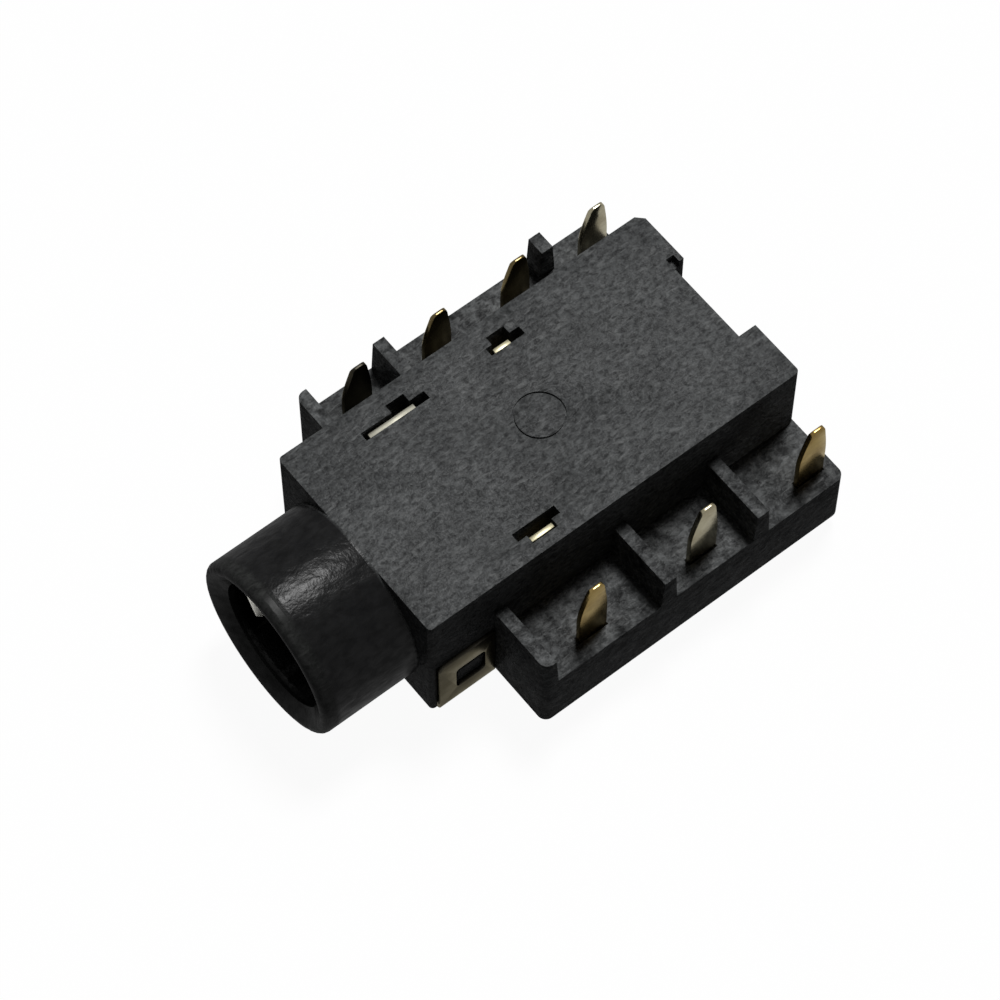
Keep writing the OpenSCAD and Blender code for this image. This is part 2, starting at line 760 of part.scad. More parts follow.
module ground_spring() {
    half = ground_h / 2;
    color("#aaa89c")
        behind_front(far)
            rotate([0, ground_turn, 0])
                intersection() {
                    translate([0, 0, -half])
                        linear_extrude(ground_h)
                            arm_strip(ground_root, ground_crest, ground_end);
                    along_x(0, wall_x)
                        round_plate([ground_end[1] - sheet_t / 2, -half],
                            [ground_root[1] + sheet_t, half], ground_corner_r);
                }
}

module ring2_terminal() {
    color("#b9a46a")
        terminal(ring2);
}

module ring2_spring() {
    color("#c9b67c")
        spring_arm(far, front_root(ring2), ring2_crest, ring2_end);
}

module ring1_terminal() {
    color("#b9a46a")
        terminal(ring1);
}

module ring1_spring() {
    color("#c9b67c")
        spring_arm(near, rear_root(ring1), ring1_crest, ring1_end);
}

module tip_terminal() {
    color("#b9a46a")
        terminal(tip);
}

module tip_spring() {
    color("#c9b67c")
        spring_arm(near, rear_root(tip), tip_crest, tip_end);
}

module tip_switch_terminal() {
    color("#b9a46a") {
        terminal(tip_switch);
        switch_finger(tip_switch, tip_end[1] - finger_overlap);
    }
}

module detect_terminal() {
    color("#b9a46a")
        terminal(detect);
}

module detect_spring() {
    color("#c9b67c")
        spring_arm(far, rear_root(detect), detect_crest, detect_end);
}

module detect_switch_terminal() {
    color("#b9a46a") {
        terminal(detect_switch);
        switch_finger(detect_switch, detect_end[1] - finger_overlap);
    }
}

housing();
ground_contact();
ground_spring();
ring2_terminal();
ring2_spring();
ring1_terminal();
ring1_spring();
tip_terminal();
tip_spring();
tip_switch_terminal();
detect_terminal();
detect_spring();
detect_switch_terminal();
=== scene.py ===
"""Audio jack socket: looks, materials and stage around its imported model."""

import math

import bmesh
import bpy
from mathutils import Matrix, Vector


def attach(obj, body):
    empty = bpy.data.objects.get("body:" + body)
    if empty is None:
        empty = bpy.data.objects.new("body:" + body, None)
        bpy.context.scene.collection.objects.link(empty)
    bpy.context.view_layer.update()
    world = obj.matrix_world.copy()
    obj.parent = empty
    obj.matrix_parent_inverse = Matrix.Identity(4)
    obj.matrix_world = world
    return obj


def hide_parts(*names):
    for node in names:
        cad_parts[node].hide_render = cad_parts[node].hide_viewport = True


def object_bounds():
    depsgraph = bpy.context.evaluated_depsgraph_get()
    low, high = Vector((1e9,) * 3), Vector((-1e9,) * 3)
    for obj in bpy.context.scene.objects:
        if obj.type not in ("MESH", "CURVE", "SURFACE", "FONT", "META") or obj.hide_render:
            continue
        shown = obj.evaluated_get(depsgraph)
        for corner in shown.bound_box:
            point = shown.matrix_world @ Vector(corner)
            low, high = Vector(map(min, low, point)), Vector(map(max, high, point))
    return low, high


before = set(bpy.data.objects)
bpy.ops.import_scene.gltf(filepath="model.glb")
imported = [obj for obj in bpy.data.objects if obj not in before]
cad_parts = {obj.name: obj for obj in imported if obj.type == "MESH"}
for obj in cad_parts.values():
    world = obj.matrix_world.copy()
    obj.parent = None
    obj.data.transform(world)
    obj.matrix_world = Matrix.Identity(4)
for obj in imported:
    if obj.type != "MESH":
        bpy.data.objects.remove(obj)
CAD_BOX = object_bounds()

bl_info = {
    "name": "Audio jack socket",
    "version": (1, 0, 0),
    "blender": (4, 5, 0),
    "location": "3D View > Sidebar > Socket",
    "description": "Finishes the moulding and the contacts of a board socket for a 3.5 mm plug",
    "category": "Object",
}

MM = 0.001
WHITE = (1.0, 1.0, 1.0)

# Bodies and nodes of the frame
SOCKET = "socket"
HOUSING = "housing"
GROUND_SPRING = "ground_spring"

# Terminals by their finish
TERMINALS = {
    "nickel": ("ground_contact",),
    "gold": ("ring2_terminal", "ring1_terminal", "tip_switch_terminal", "detect_terminal"),
    "pale_gold": ("tip_terminal", "detect_switch_terminal"),
}

# Middle lines of the swept spring arms at mid height, in millimetres: root, crest and end
ARMS = {
    "ring2_spring": ((-2.155, 8.69), (-1.575, 6.2), (-1.665, 5.9)),
    "ring1_spring": ((2.525, 7.09), (1.575, 8.6), (1.665, 8.9)),
    "tip_spring": ((2.155, 10.16), (1.575, 11.8009), (1.92, 12.85)),
    "detect_spring": ((-2.155, 11.32), (-1.325, 12.704), (-2.06, 13.05)),
}

# Where an arm's bend begins on the way from its crest to its root, and ends on the way to its end
BEND_LEAD = 0.25
BEND_TAIL = 0.8
# Points along an arm, and the shares of them at which its bend begins and ends
ARM_POINTS = 40
BEND_FROM = 0.3
BEND_TO = 0.85
# Points on each corner of an arm's section, and sides of its rolled root
CORNER_POINTS = 3
ROLL_SIDES = 40

# Finish of the meshes, with the gap in millimetres and the angles in degrees
MERGE_GAP = 0.0005
FLAT_ANGLE = 0.6
ROUNDED_ANGLE = 32.0
SHARP_ANGLE = 38.0
EDGE_SEGMENTS = 2

# Where one finish gives way to the next, in millimetres along an axis
FLANGE_X = (3.0, 3.06)
NOSE_Y = (2.72, 2.8)
RIM_Y = (0.34, 0.46)
SLOT_EDGE_Z = (2.12, 2.16)
# Where the far row of pins begins, whose plating gets painted shade
FAR_ROW_SHADE_X = (-3.4, -3.3)

# Depth of the skins' relief in millimetres
MOULDING_RELIEF = 0.036
SHEET_RELIEF = 0.004

# Spread of the moulding's patterns from dark to light, and the shares of its colour at both ends
MIDDLE_SPREAD = (0.34, 0.66)
CLOUD_SPREAD = (0.35, 0.65)
FIBRE_SPREAD = (0.6, 0.72)
GRAIN_TONES = (0.5, 1.6)
LUMP_TONES = (0.38, 1.5)
CLOUD_TONES = (0.86, 1.12)
# Shares of the plastic's colour on the nose and at its rim: painted shade, a darker copy of the same plastic
NOSE_PAINTED_SHADE = (0.05, 0.05, 0.052)
RIM_PAINTED_SHADE = (0.26, 0.26, 0.25)
FIBRE_SHARE = 0.4
# Stretch of the patterns that follow the flow of the plastic
FLOW_STRETCH = (1.25, 0.75, 1.25)
FIBRE_STRETCH = (8.0, 2.6, 8.0)
# Weight of the moulding's glossy coat, and shares of it at the nose's rim and from hollows to swells
BODY_COAT = 0.05
NOSE_COAT = 0.2
RIM_COAT_SHARE = 0.5
SWELL_COAT_SHARES = (0.78, 1.22)
# Share of the nose's relief that is left at its rim
RIM_RELIEF_SHARE = 0.1

# Spread of the plating's patterns, and what they do to its colour and roughness
TARNISH_SPREAD = (0.38, 0.66)
ROLLED_SPREAD = (0.3, 0.7)
ROLLED_TONES = (0.84, 1.1)
ROLLED_STRETCH = (14.0, 1.2, 14.0)
ROUGHNESS_SPREAD = (0.3, 0.7)
CLEAN_SMOOTHER = 0.05
TARNISH_ROUGHER = 0.07
SHEARED_ROUGHER = 0.16
# Each plating: shares of its colour under tarnish and under painted shade in the far row of pins, its
# roughness, the colour of its sheared edges in the slots, and the tint of what it reflects at a grazing angle
PLATINGS = {
    "nickel": {
        "tarnish": (0.76, 0.74, 0.68), "far": (0.5, 0.5, 0.5), "rough": 0.34,
        "sheared": (0.15, 0.145, 0.12), "grazing": (0.81, 0.77, 0.66)},
    "bright": {
        "tarnish": (0.9, 0.9, 0.86), "far": WHITE, "rough": 0.42,
        "sheared": (0.8, 0.79, 0.73), "grazing": WHITE},
    "gold": {
        "tarnish": (0.72, 0.66, 0.56), "far": (0.4, 0.42, 0.5), "rough": 0.2,
        "sheared": (0.2, 0.185, 0.125), "grazing": (0.9, 0.86, 0.74)},
    "pale_gold": {
        "tarnish": (0.74, 0.7, 0.64), "far": WHITE, "rough": 0.2,
        "sheared": (0.2, 0.185, 0.14), "grazing": (0.92, 0.9, 0.84)},
}

# Floor: half its width in millimetres, and the colour and share of it that the lamp lights
FLOOR_HALF = 500.0
FLOOR_LIT = (0.92, 0.92, 0.92)
FLOOR_LIT_SHARE = 0.05
# Direction to the lamp
KEY_FROM = (-0.19, 0.30, 0.935)
# Camera: lengths in millimetres, and directions
CAMERA_PLACE = (37.453, -22.526, 87.127)
CAMERA_LOOK = (-0.37463, 0.29854, -0.8778)
CAMERA_UP = (-0.68847, 0.54455, 0.47903)
CAMERA_SENSOR = 36.0
CAMERA_NEAREST = 5.0
CAMERA_FARTHEST = 3000.0

# Step from one node to the next in the node editor
NODE_STEP = 220
# The Mix node's two inputs and its output for each kind of data
MIX_SOCKETS = {"VECTOR": (4, 5, 1), "RGBA": (6, 7, 2)}


class SocketShape(bpy.types.PropertyGroup):
    """Sizes of the finish on the pieces' edges and of the swept arms."""

    moulding_edge: bpy.props.FloatProperty(
        name="Moulding edge", description="Radius on the moulding's edges",
        default=0.03 * MM, min=0.0, unit="LENGTH", precision=6)
    sheet_edge: bpy.props.FloatProperty(
        name="Sheet edge", description="Radius on the stamped sheet's edges",
        default=0.02 * MM, min=0.0, unit="LENGTH", precision=6)
    sheet: bpy.props.FloatProperty(
        name="Sheet", description="Thickness of the contact sheet",
        default=0.15 * MM, min=0.0, unit="LENGTH", precision=6)
    arm_height: bpy.props.FloatProperty(
        name="Arm height", description="Height of a spring arm",
        default=1.2 * MM, min=0.0, unit="LENGTH", precision=6)
    root_radius: bpy.props.FloatProperty(
        name="Root radius", description="Radius of an arm's rolled root",
        default=0.1 * MM, min=0.0, unit="LENGTH", precision=6)


class SocketFinish(bpy.types.PropertyGroup):
    """Colours of the moulding and of the plated sheet."""

    plastic: bpy.props.FloatVectorProperty(
        name="Plastic", description="Colour of the moulding", subtype="COLOR",
        size=3, min=0.0, max=1.0, default=(0.0555, 0.0575, 0.058))
    fibre: bpy.props.FloatVectorProperty(
        name="Fibre", description="Colour of the glass fibres at the moulding's skin", subtype="COLOR",
        size=3, min=0.0, max=1.0, default=(0.15, 0.154, 0.154))
    gold: bpy.props.FloatVectorProperty(
        name="Gold", description="Colour of the gold plating", subtype="COLOR",
        size=3, min=0.0, max=1.0, default=(0.20, 0.145, 0.055))
    pale_gold: bpy.props.FloatVectorProperty(
        name="Pale gold", description="Colour of the thin plating over nickel", subtype="COLOR",
        size=3, min=0.0, max=1.0, default=(0.26, 0.24, 0.17))
    nickel: bpy.props.FloatVectorProperty(
        name="Nickel", description="Colour of the nickel plating", subtype="COLOR",
        size=3, min=0.0, max=1.0, default=(0.038, 0.035, 0.028))
    bright: bpy.props.FloatVectorProperty(
        name="Bright nickel", description="Colour of the ground spring's plating", subtype="COLOR",
        size=3, min=0.0, max=1.0, default=(0.8, 0.79, 0.73))


class SocketStage(bpy.types.PropertyGroup):
    """Camera, lamp and floor."""

    lens: bpy.props.FloatProperty(
        name="Lens", description="Focal length on a 36 mm sensor in millimetres", default=144.0, min=1.0)
    sun: bpy.props.FloatProperty(
        name="Key light", description="Strength of the overhead lamp", default=3.2, min=0.0)
    sun_angle: bpy.props.FloatProperty(
        name="Key size", description="Apparent size of the overhead lamp", subtype="ANGLE",
        default=math.radians(16.0), min=0.0)
    ambient: bpy.props.FloatProperty(
        name="Ambient light", description="Strength of the light from all round", default=0.02, min=0.0)
    floor: bpy.props.FloatVectorProperty(
        name="Floor", description="Colour of the pale floor", subtype="COLOR",
        size=3, min=0.0, max=1.0, default=(0.12, 0.12, 0.12))


# Node helpers

def wire(tree, made, inputs):
    """Links a node's inputs, given by name or number, to other nodes' outputs, or sets their own values."""
    for key, value in inputs.items():
        socket = made.inputs[key]
        if isinstance(value, bpy.types.NodeSocket):
            tree.links.new(value, socket)
        elif socket.type == "RGBA":
            socket.default_value = (*value, 1.0)
        else:
            socket.default_value = value


def node(tree, kind, inputs=None, **settings):
    """A new node with its settings and inputs, to the right of the one before it."""
    made = tree.nodes.new(kind)
    made.location = (NODE_STEP * len(tree.nodes), 0)
    for key, value in settings.items():
        setattr(made, key, value)
    wire(tree, made, inputs or {})
    return made


def first_output(tree, kind, inputs=None, **settings):
    """The first output of a new node."""
    return node(tree, kind, inputs, **settings).outputs[0]


def math_node(tree, operation, *values):
    """One step of arithmetic on numbers or outputs."""
    return first_output(tree, "ShaderNodeMath", dict(enumerate(values)), operation=operation)


def weighted_sum(tree, *terms):
    """The sum of patterns, each given with its share."""
    parts = [math_node(tree, "MULTIPLY", pattern, share) for pattern, share in terms]
    total = parts[0]
    for part in parts[1:]:
        total = math_node(tree, "ADD", total, part)
    return total


def map_range(tree, value, low, high, to_low=0.0, to_high=1.0):
    """A number that goes from to_low to to_high as the value goes from low to high."""
    return first_output(tree, "ShaderNodeMapRange", {
        "Value": value, "From Min": low, "From Max": high, "To Min": to_low, "To Max": to_high})


def mix(tree, kind, factor, first, second, **settings):
    """Two vectors or colours mixed by a factor."""
    a, b, result = MIX_SOCKETS[kind]
    made = node(tree, "ShaderNodeMix", data_type=kind, **settings)
    wire(tree, made, {0: factor, a: first, b: second})
    return made.outputs[result]


def mix_colour(tree, factor, first, second):
    """A colour that goes from the first to the second with the factor."""
    return mix(tree, "RGBA", factor, first, second)


def multiply_colour(tree, colour, shade):
    """One colour times another."""
    return mix(tree, "RGBA", 1.0, colour, shade, blend_type="MULTIPLY")


def tones(tree, pattern, spread, shares):
    """A grey that goes from the first share to the second across the spread of a pattern."""
    dark, light = ((share,) * 3 for share in shares)
    return mix_colour(tree, map_range(tree, pattern, *spread), dark, light)


def noise(tree, vector, scale, detail, roughness=0.5, distortion=0.0):
    """A noise pattern on coordinates in millimetres."""
    return first_output(tree, "ShaderNodeTexNoise", {
        "Vector": vector, "Scale": scale, "Detail": detail, "Roughness": roughness, "Distortion": distortion})


def stretched(tree, vector, scale):
    """Coordinates times a scale along each axis."""
    return first_output(tree, "ShaderNodeMapping", {"Vector": vector, "Scale": scale})


def bump(tree, height, depth, strength=1.0):
    """The normal of a relief whose depth is in millimetres."""
    return first_output(tree, "ShaderNodeBump", {
        "Strength": strength, "Distance": depth * MM, "Height": height})


def empty_tree(owner):
    """The node tree of a material or a world, with nothing in it."""
    owner.use_nodes = True
    owner.node_tree.nodes.clear()
    return owner.node_tree


def new_material(name):
    """A material, its tree and its shader, and a piece's coordinates in millimetres, whole and by axis."""
    material = bpy.data.materials.new(name)
    tree = empty_tree(material)
    shader = node(tree, "ShaderNodeBsdfPrincipled")
    node(tree, "ShaderNodeOutputMaterial", {"Surface": shader.outputs["BSDF"]})
    place = stretched(tree, node(tree, "ShaderNodeTexCoord").outputs["Object"], (1 / MM,) * 3)
    axes = node(tree, "ShaderNodeSeparateXYZ", {"Vector": place}).outputs
    return material, tree, shader, place, axes


# Materials

def moulded_plastic(name, finish):
    """Black glass-filled plastic: coarse on the flanges, glossy on the nose with painted shade darkening it,
    smooth at its rim.
    """
    material, tree, shader, place, axes = new_material(name)
    flange = map_range(tree, math_node(tree, "ABSOLUTE", axes["X"]), *FLANGE_X)
    nose = map_range(tree, axes["Y"], *NOSE_Y, 1.0, 0.0)
    rim = map_range(tree, axes["Y"], *RIM_Y, 1.0, 0.0)

    flow = stretched(tree, place, FLOW_STRETCH)
    fine = noise(tree, place, scale=17.0, detail=1.0)
    grain = noise(tree, flow, scale=7.0, detail=2.0, distortion=0.5)
    lump = noise(tree, place, scale=3.0, detail=3.0, roughness=0.6, distortion=0.4)
    swell = noise(tree, flow, scale=3.8, detail=1.5, distortion=0.3)
    cloud = noise(tree, place, scale=0.7, detail=2.0)
    fibre = noise(tree, stretched(tree, place, FIBRE_STRETCH), scale=1.0, detail=1.0, distortion=0.8)

    # Colour
    mottle = weighted_sum(tree, (fine, 0.3), (grain, 0.7))
    dark, light = (tuple(tone * part for part in finish.plastic) for tone in GRAIN_TONES)
    colour = mix_colour(tree, map_range(tree, mottle, *MIDDLE_SPREAD), dark, light)
    coarse = multiply_colour(tree, colour, tones(tree, lump, MIDDLE_SPREAD, LUMP_TONES))
    colour = mix_colour(tree, flange, colour, coarse)
    colour = multiply_colour(tree, colour, tones(tree, cloud, CLOUD_SPREAD, CLOUD_TONES))
    fleck = math_node(tree, "MULTIPLY", map_range(tree, fibre, *FIBRE_SPREAD), FIBRE_SHARE)
    colour = mix_colour(tree, fleck, colour, finish.fibre)
    # Painted shade: the nose's colour cut to a twentieth of the body's, and to about a quarter at its rim
    shade = mix_colour(tree, nose, WHITE, NOSE_PAINTED_SHADE)
    shade = mix_colour(tree, rim, shade, RIM_PAINTED_SHADE)

    # Gloss
    coat = map_range(tree, nose, 0.0, 1.0, BODY_COAT, NOSE_COAT)
    coat = math_node(tree, "MULTIPLY", coat, map_range(tree, rim, 0.0, 1.0, 1.0, RIM_COAT_SHARE))
    coat = math_node(tree, "MULTIPLY", coat, map_range(tree, swell, *MIDDLE_SPREAD, *SWELL_COAT_SHARES))

    # Relief
    on_body = weighted_sum(tree, (grain, 1.0), (fine, 0.25), (lump, flange))
    on_nose = math_node(tree, "MULTIPLY", weighted_sum(tree, (swell, 0.46), (fine, 0.14)), nose)
    off_nose = math_node(tree, "SUBTRACT", 1.0, nose)
    calm = map_range(tree, rim, 0.0, 1.0, 1.0, RIM_RELIEF_SHARE)
    normal = bump(tree, weighted_sum(tree, (on_body, off_nose), (on_nose, calm)), MOULDING_RELIEF)

    wire(tree, shader, {
        "Base Color": multiply_colour(tree, colour, shade), "Roughness": 0.6, "Specular IOR Level": 0.0,
        "Coat Weight": coat, "Coat Roughness": 0.29, "Coat IOR": 1.5,
        "Normal": normal, "Coat Normal": normal})
    return material


def plated_sheet(name, colour, tarnish, far, rough, sheared, grazing):
    """Plated strip: lines from rolling, cloudy tarnish, painted shade on the pins in the far row and dull
    sheared edges.
    """
    material, tree, shader, place, axes = new_material(name)
    slot_edge = map_range(tree, axes["Z"], *SLOT_EDGE_Z)
    far_row = map_range(tree, axes["X"], *FAR_ROW_SHADE_X, 1.0, 0.0)
    lines = noise(tree, stretched(tree, place, ROLLED_STRETCH), scale=1.0, detail=3.0, roughness=0.6)
    cloud = noise(tree, place, scale=1.6, detail=3.0, roughness=0.6)
    speck = noise(tree, place, scale=16.0, detail=2.0)

    dull = tuple(part * share for part, share in zip(colour, tarnish))
    shade = mix_colour(tree, map_range(tree, cloud, *TARNISH_SPREAD), colour, dull)
    # Painted shade: the pins in the far row darkened, as their faces turn from the lamp
    shade = mix_colour(tree, far_row, shade, multiply_colour(tree, shade, far))
    shade = mix_colour(tree, slot_edge, shade, sheared)
    shade = multiply_colour(tree, shade, tones(tree, lines, ROLLED_SPREAD, ROLLED_TONES))

    roughness = map_range(tree, cloud, *ROUGHNESS_SPREAD, rough - CLEAN_SMOOTHER, rough + TARNISH_ROUGHER)
    roughness = weighted_sum(tree, (roughness, 1.0), (slot_edge, SHEARED_ROUGHER))
    normal = bump(tree, weighted_sum(tree, (lines, 0.7), (speck, 0.3)), SHEET_RELIEF, strength=0.6)

    wire(tree, shader, {
        "Base Color": shade, "Metallic": 1.0, "Specular Tint": grazing, "Roughness": roughness,
        "Normal": normal, "Coat Normal": normal})
    return material


def finish_material(finish_name):
    """The material of a finish, made once."""
    name = "finish_" + finish_name
    made = bpy.data.materials.get(name)
    if made:
        return made
    finish = bpy.context.scene.socket_finish
    if finish_name == "plastic":
        return moulded_plastic(name, finish)
    return plated_sheet(name, tuple(getattr(finish, finish_name)), **PLATINGS[finish_name])


# Mesh helpers

def add_object(name, data):
    """A new object in the scene."""
    made = bpy.data.objects.new(name, data)
    bpy.context.scene.collection.objects.link(made)
    return made


def to_millimetres(source):
    """A merged copy of a node's mesh, in millimetres, with its flat faces whole."""
    bm = bmesh.new()
    bm.from_mesh(source.data)
    bmesh.ops.scale(bm, vec=(1 / MM,) * 3, verts=bm.verts)
    bmesh.ops.remove_doubles(bm, verts=bm.verts, dist=MERGE_GAP)
    bmesh.ops.dissolve_limit(bm, angle_limit=math.radians(FLAT_ANGLE), verts=bm.verts, edges=bm.edges)
    mesh = bpy.data.meshes.new(source.name + "_millimetres")
    bm.to_mesh(mesh)
    bm.free()
    return mesh


def evaluated_mesh(scratch, name):
    """The scratch object's finished mesh, back in metres; the scratch object is removed."""
    bpy.context.view_layer.update()
    graph = bpy.context.evaluated_depsgraph_get()
    mesh = bpy.data.meshes.new_from_object(scratch.evaluated_get(graph))
    if not mesh.polygons:
        raise RuntimeError("no faces came out for " + name)
    mesh.name = name
    mesh.transform(Matrix.Scale(MM, 4))
    old = scratch.data
    bpy.data.objects.remove(scratch)
    bpy.data.meshes.remove(old)
    return mesh


def add_piece(name, mesh, body, node_name, finish_name):
    """Puts a finished mesh in the scene in place of its node."""
    mesh.materials.clear()
    mesh.materials.append(finish_material(finish_name))
    mesh.polygons.foreach_set("use_smooth", [True] * len(mesh.polygons))
    mesh.set_sharp_from_angle(angle=math.radians(SHARP_ANGLE))
    mesh.update()
    piece = add_object(name, mesh)
    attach(piece, body)
    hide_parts(node_name)


def add_rounded_piece(name, body, node_name, radius, finish_name):
    """Adds a piece with its node's form and small round edges."""
    scratch = add_object(name + "_scratch", to_millimetres(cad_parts[node_name]))
    edges = scratch.modifiers.new("Edges", "BEVEL")
    edges.width = radius / MM
    edges.segments = EDGE_SEGMENTS
    edges.limit_method = "ANGLE"
    edges.angle_limit = math.radians(ROUNDED_ANGLE)
    edges.use_clamp_overlap = True
    add_piece(name, evaluated_mesh(scratch, name), body, node_name, finish_name)


# Arms swept along their middle lines

def arm_tree():
    """Geometry Nodes that sweep a strip of sheet from a rolled root over a round crest to its end."""
    tree = bpy.data.node_groups.new("Swept spring arm", "GeometryNodeTree")
    tree.interface.new_socket("Geometry", in_out="INPUT", socket_type="NodeSocketGeometry")
    for name in ("Root", "Crest", "End"):
        tree.interface.new_socket(name, in_out="INPUT", socket_type="NodeSocketVector")
    for name in ("Sheet", "Height", "Edge", "Root radius"):
        tree.interface.new_socket(name, in_out="INPUT", socket_type="NodeSocketFloat")
    tree.interface.new_socket("Material", in_out="INPUT", socket_type="NodeSocketMaterial")
    tree.interface.new_socket("Geometry", in_out="OUTPUT", socket_type="NodeSocketGeometry")
    given = node(tree, "NodeGroupInput").outputs
    root, crest, end = given["Root"], given["Crest"], given["End"]

    def between(first, second, share, **settings):
        """A point at a share of the way from the first to the second."""
        return mix(tree, "VECTOR", share, first, second, **settings)

    lead = between(crest, root, BEND_LEAD)
    tail = between(crest, end, BEND_TAIL)
    chord = between(lead, tail, 0.5)
    # The chord's middle mirrored in the crest, so that the curve passes through the crest
    control = between(chord, crest, 2.0, clamp_factor=False)

    index = first_output(tree, "GeometryNodeInputIndex")
    along = math_node(tree, "DIVIDE", index, ARM_POINTS - 1.0)
    straight = between(root, lead, map_range(tree, along, 0.0, BEND_FROM))
    turn = map_range(tree, along, BEND_FROM, BEND_TO)
    curve = between(between(lead, control, turn), between(control, tail, turn), turn)
    last = between(tail, end, map_range(tree, along, BEND_TO, 1.0))

    def switch_at(share, before, after):
        """One point before a share of the arm, and another after it."""
        passed = math_node(tree, "GREATER_THAN", along, share)
        return first_output(
            tree, "GeometryNodeSwitch",
            {"Switch": passed, "False": before, "True": after}, input_type="VECTOR")

    place = switch_at(BEND_FROM, straight, switch_at(BEND_TO, curve, last))
    line = first_output(tree, "GeometryNodeMeshLine", {"Count": ARM_POINTS}, mode="OFFSET")
    line = first_output(tree, "GeometryNodeSetPosition", {"Geometry": line, "Position": place})
    line = first_output(tree, "GeometryNodeMeshToCurve", {"Mesh": line})
    line = first_output(tree, "GeometryNodeSetCurveNormal", {"Curve": line}, mode="Z_UP")
    section = first_output(
        tree, "GeometryNodeCurvePrimitiveQuadrilateral",
        {"Width": given["Sheet"], "Height": given["Height"]}, mode="RECTANGLE")
    section = first_output(
        tree, "GeometryNodeFilletCurve",
        {"Curve": section, "Count": CORNER_POINTS, "Radius": given["Edge"], "Limit Radius": True},
        mode="POLY")
    strip = first_output(
        tree, "GeometryNodeCurveToMesh", {"Curve": line, "Profile Curve": section, "Fill Caps": True})
    roll = first_output(
        tree, "GeometryNodeMeshCylinder",
        {"Vertices": ROLL_SIDES, "Radius": given["Root radius"], "Depth": given["Height"]})
    roll = first_output(tree, "GeometryNodeTransform", {"Geometry": roll, "Translation": root})

    joined = node(tree, "GeometryNodeJoinGeometry")
    for part in (strip, roll):
        wire(tree, joined, {"Geometry": part})
    whole = first_output(tree, "GeometryNodeRealizeInstances", {"Geometry": joined.outputs["Geometry"]})
    coated = first_output(tree, "GeometryNodeSetMaterial", {"Geometry": whole, "Material": given["Material"]})
    node(tree, "NodeGroupOutput", {"Geometry": coated})
    return tree


def set_inputs(modifier, values):
    """Sets a Geometry Nodes modifier's inputs, given by name, through their identifiers."""
    for item in modifier.node_group.interface.items_tree:
        if item.name in values:
            modifier[item.identifier] = values[item.name]


# Stage helpers

def mix_shader(tree, factor, first, second):
    """Two shaders mixed by a factor."""
    return first_output(tree, "ShaderNodeMixShader", {0: factor, 1: first, 2: second})


def seen_rays(tree):
    """One for rays from the camera, reflections and clear surfaces, and nought for all others."""
    path = node(tree, "ShaderNodeLightPath").outputs
    seen = math_node(tree, "MAXIMUM", path["Is Camera Ray"], path["Is Glossy Ray"])
    return math_node(tree, "MAXIMUM", seen, path["Is Transmission Ray"])


def floor_material(colour):
    """Pale floor: white to the camera and in reflections with a faint shadow, plain for all other light."""
    material = bpy.data.materials.new("pale_floor")
    tree = empty_tree(material)
    plain = first_output(tree, "ShaderNodeBsdfDiffuse", {"Color": colour})
    lit = first_output(tree, "ShaderNodeBsdfDiffuse", {"Color": FLOOR_LIT})
    glow = first_output(tree, "ShaderNodeEmission", {"Color": WHITE, "Strength": 1.0})
    pale = mix_shader(tree, FLOOR_LIT_SHARE, glow, lit)
    surface = mix_shader(tree, seen_rays(tree), plain, pale)
    node(tree, "ShaderNodeOutputMaterial", {"Surface": surface})
    return material


def add_floor(colour):
    """Lays the floor under the part."""
    half = FLOOR_HALF * MM
    low = CAD_BOX[0].z
    mesh = bpy.data.meshes.new("floor")
    corners = [(-half, -half, low), (half, -half, low), (half, half, low), (-half, half, low)]
    mesh.from_pydata(corners, [], [(0, 1, 2, 3)])
    mesh.materials.append(floor_material(colour))
    add_object("floor", mesh)


def set_world(strength):
    """White to the camera and in reflections, and an even soft light otherwise."""
    world = bpy.data.worlds.new("Studio")
    tree = empty_tree(world)
    soft = first_output(tree, "ShaderNodeBackground", {"Color": WHITE, "Strength": strength})
    white = first_output(tree, "ShaderNodeBackground", {"Color": WHITE, "Strength": 1.0})
    node(tree, "ShaderNodeOutputWorld", {"Surface": mix_shader(tree, seen_rays(tree), soft, white)})
    bpy.context.scene.world = world


def add_key_light(strength, angle):
    """Adds the soft lamp overhead."""
    lamp = bpy.data.lights.new("Key", "SUN")
    lamp.energy = strength
    lamp.angle = angle
    key = add_object("Key", lamp)
    key.rotation_mode = "QUATERNION"
    key.rotation_quaternion = Vector(KEY_FROM).to_track_quat("Z", "Y")


def add_camera(focal_length):
    """The camera at the photograph's viewing angle."""
    lens = bpy.data.cameras.new("Camera")
    lens.lens = focal_length
    lens.sensor_width = CAMERA_SENSOR
    lens.clip_start = CAMERA_NEAREST * MM
    lens.clip_end = CAMERA_FARTHEST * MM
    look = Vector(CAMERA_LOOK).normalized()
    right = look.cross(Vector(CAMERA_UP)).normalized()
    up = right.cross(look)
    turn = Matrix((right, up, -look)).transposed()
    camera = add_object("Camera", lens)
    camera.matrix_world = Matrix.Translation(Vector(CAMERA_PLACE) * MM) @ turn.to_4x4()
    return camera


# Operators

class SOCKET_OT_housing(bpy.types.Operator):
    """Rounds the moulding's edges and gives it its black plastic."""

    bl_idname = "socket.housing"
    bl_label = "Housing"

    def execute(self, context):
        edge = context.scene.socket_shape.moulding_edge
        add_rounded_piece("moulding", SOCKET, HOUSING, edge, "plastic")
        return {"FINISHED"}


class SOCKET_OT_terminals(bpy.types.Operator):
    """Makes the folded terminals and the ground spring with the rounded edges of stamped sheet."""

    bl_idname = "socket.terminals"
    bl_label = "Terminals"

    def execute(self, context):
        edge = context.scene.socket_shape.sheet_edge
        for finish_name, names in TERMINALS.items():
            for name in names:
                add_rounded_piece("stamped_" + name, SOCKET, name, edge, finish_name)
        add_rounded_piece("stamped_" + GROUND_SPRING, GROUND_SPRING, GROUND_SPRING, edge, "bright")
        return {"FINISHED"}


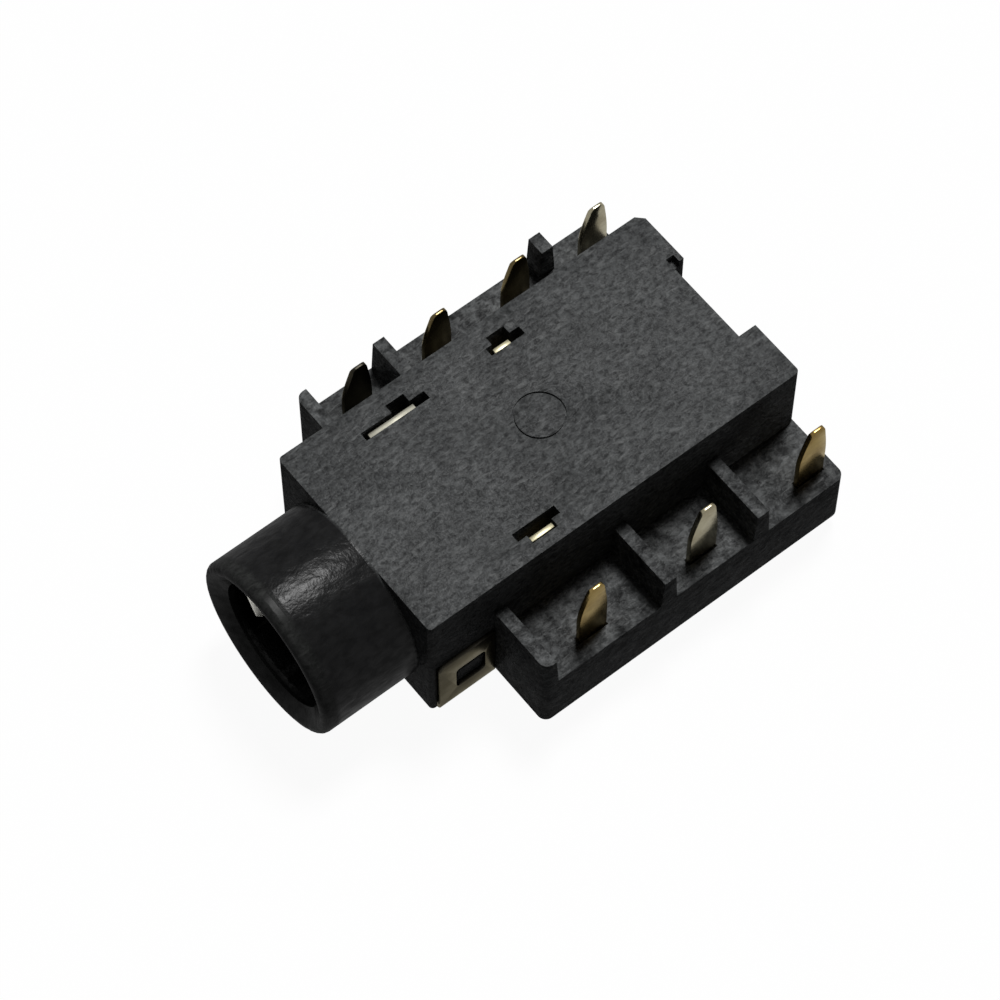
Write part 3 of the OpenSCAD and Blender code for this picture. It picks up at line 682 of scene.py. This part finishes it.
class SOCKET_OT_arms(bpy.types.Operator):
    """Sweeps the four spring arms along their middle lines."""

    bl_idname = "socket.arms"
    bl_label = "Spring arms"

    def execute(self, context):
        shape = context.scene.socket_shape
        tree = arm_tree()
        strip = {
            "Sheet": shape.sheet / MM, "Height": shape.arm_height / MM, "Edge": shape.sheet_edge / MM,
            "Root radius": shape.root_radius / MM, "Material": finish_material("gold")}
        for name, (root, crest, end) in ARMS.items():
            piece_name = "swept_" + name
            scratch = add_object(name + "_scratch", bpy.data.meshes.new(name + "_scratch"))
            sweep = scratch.modifiers.new("Sweep", "NODES")
            sweep.node_group = tree
            set_inputs(sweep, {"Root": (*root, 0.0), "Crest": (*crest, 0.0), "End": (*end, 0.0), **strip})
            add_piece(piece_name, evaluated_mesh(scratch, piece_name), name, name, "gold")
        return {"FINISHED"}


class SOCKET_OT_stage(bpy.types.Operator):
    """Sets the floor, the light and the camera."""

    bl_idname = "socket.stage"
    bl_label = "Stage"

    def execute(self, context):
        scene = context.scene
        stage = scene.socket_stage
        add_floor(stage.floor)
        set_world(stage.ambient)
        add_key_light(stage.sun, stage.sun_angle)
        scene.camera = add_camera(stage.lens)
        scene.view_settings.view_transform = "Standard"
        return {"FINISHED"}


class SOCKET_PT_panel(bpy.types.Panel):
    """Sidebar panel with the socket's sizes, colours and steps."""

    bl_idname = "SOCKET_PT_panel"
    bl_label = "Audio jack socket"
    bl_space_type = "VIEW_3D"
    bl_region_type = "UI"
    bl_category = "Socket"

    def draw(self, context):
        for group_name in GROUPS:
            group = getattr(context.scene, group_name)
            box = self.layout.box()
            for name in group.bl_rna.properties.keys():
                if name not in ("rna_type", "name"):
                    box.prop(group, name)
        for operator in OPERATORS:
            self.layout.operator(operator.bl_idname)


GROUPS = {"socket_shape": SocketShape, "socket_finish": SocketFinish, "socket_stage": SocketStage}
OPERATORS = (SOCKET_OT_housing, SOCKET_OT_terminals, SOCKET_OT_arms, SOCKET_OT_stage)


def register():
    """Registers the classes and puts the property groups on the scene."""
    for name, group in GROUPS.items():
        bpy.utils.register_class(group)
        setattr(bpy.types.Scene, name, bpy.props.PointerProperty(type=group))
    for operator in OPERATORS:
        bpy.utils.register_class(operator)
    bpy.utils.register_class(SOCKET_PT_panel)


def unregister():
    """Takes away what register added."""
    bpy.utils.unregister_class(SOCKET_PT_panel)
    for operator in reversed(OPERATORS):
        bpy.utils.unregister_class(operator)
    for name, group in GROUPS.items():
        delattr(bpy.types.Scene, name)
        bpy.utils.unregister_class(group)


def main():
    register()
    bpy.ops.socket.housing()
    bpy.ops.socket.terminals()
    bpy.ops.socket.arms()
    bpy.ops.socket.stage()


if __name__ == "__main__":
    main()
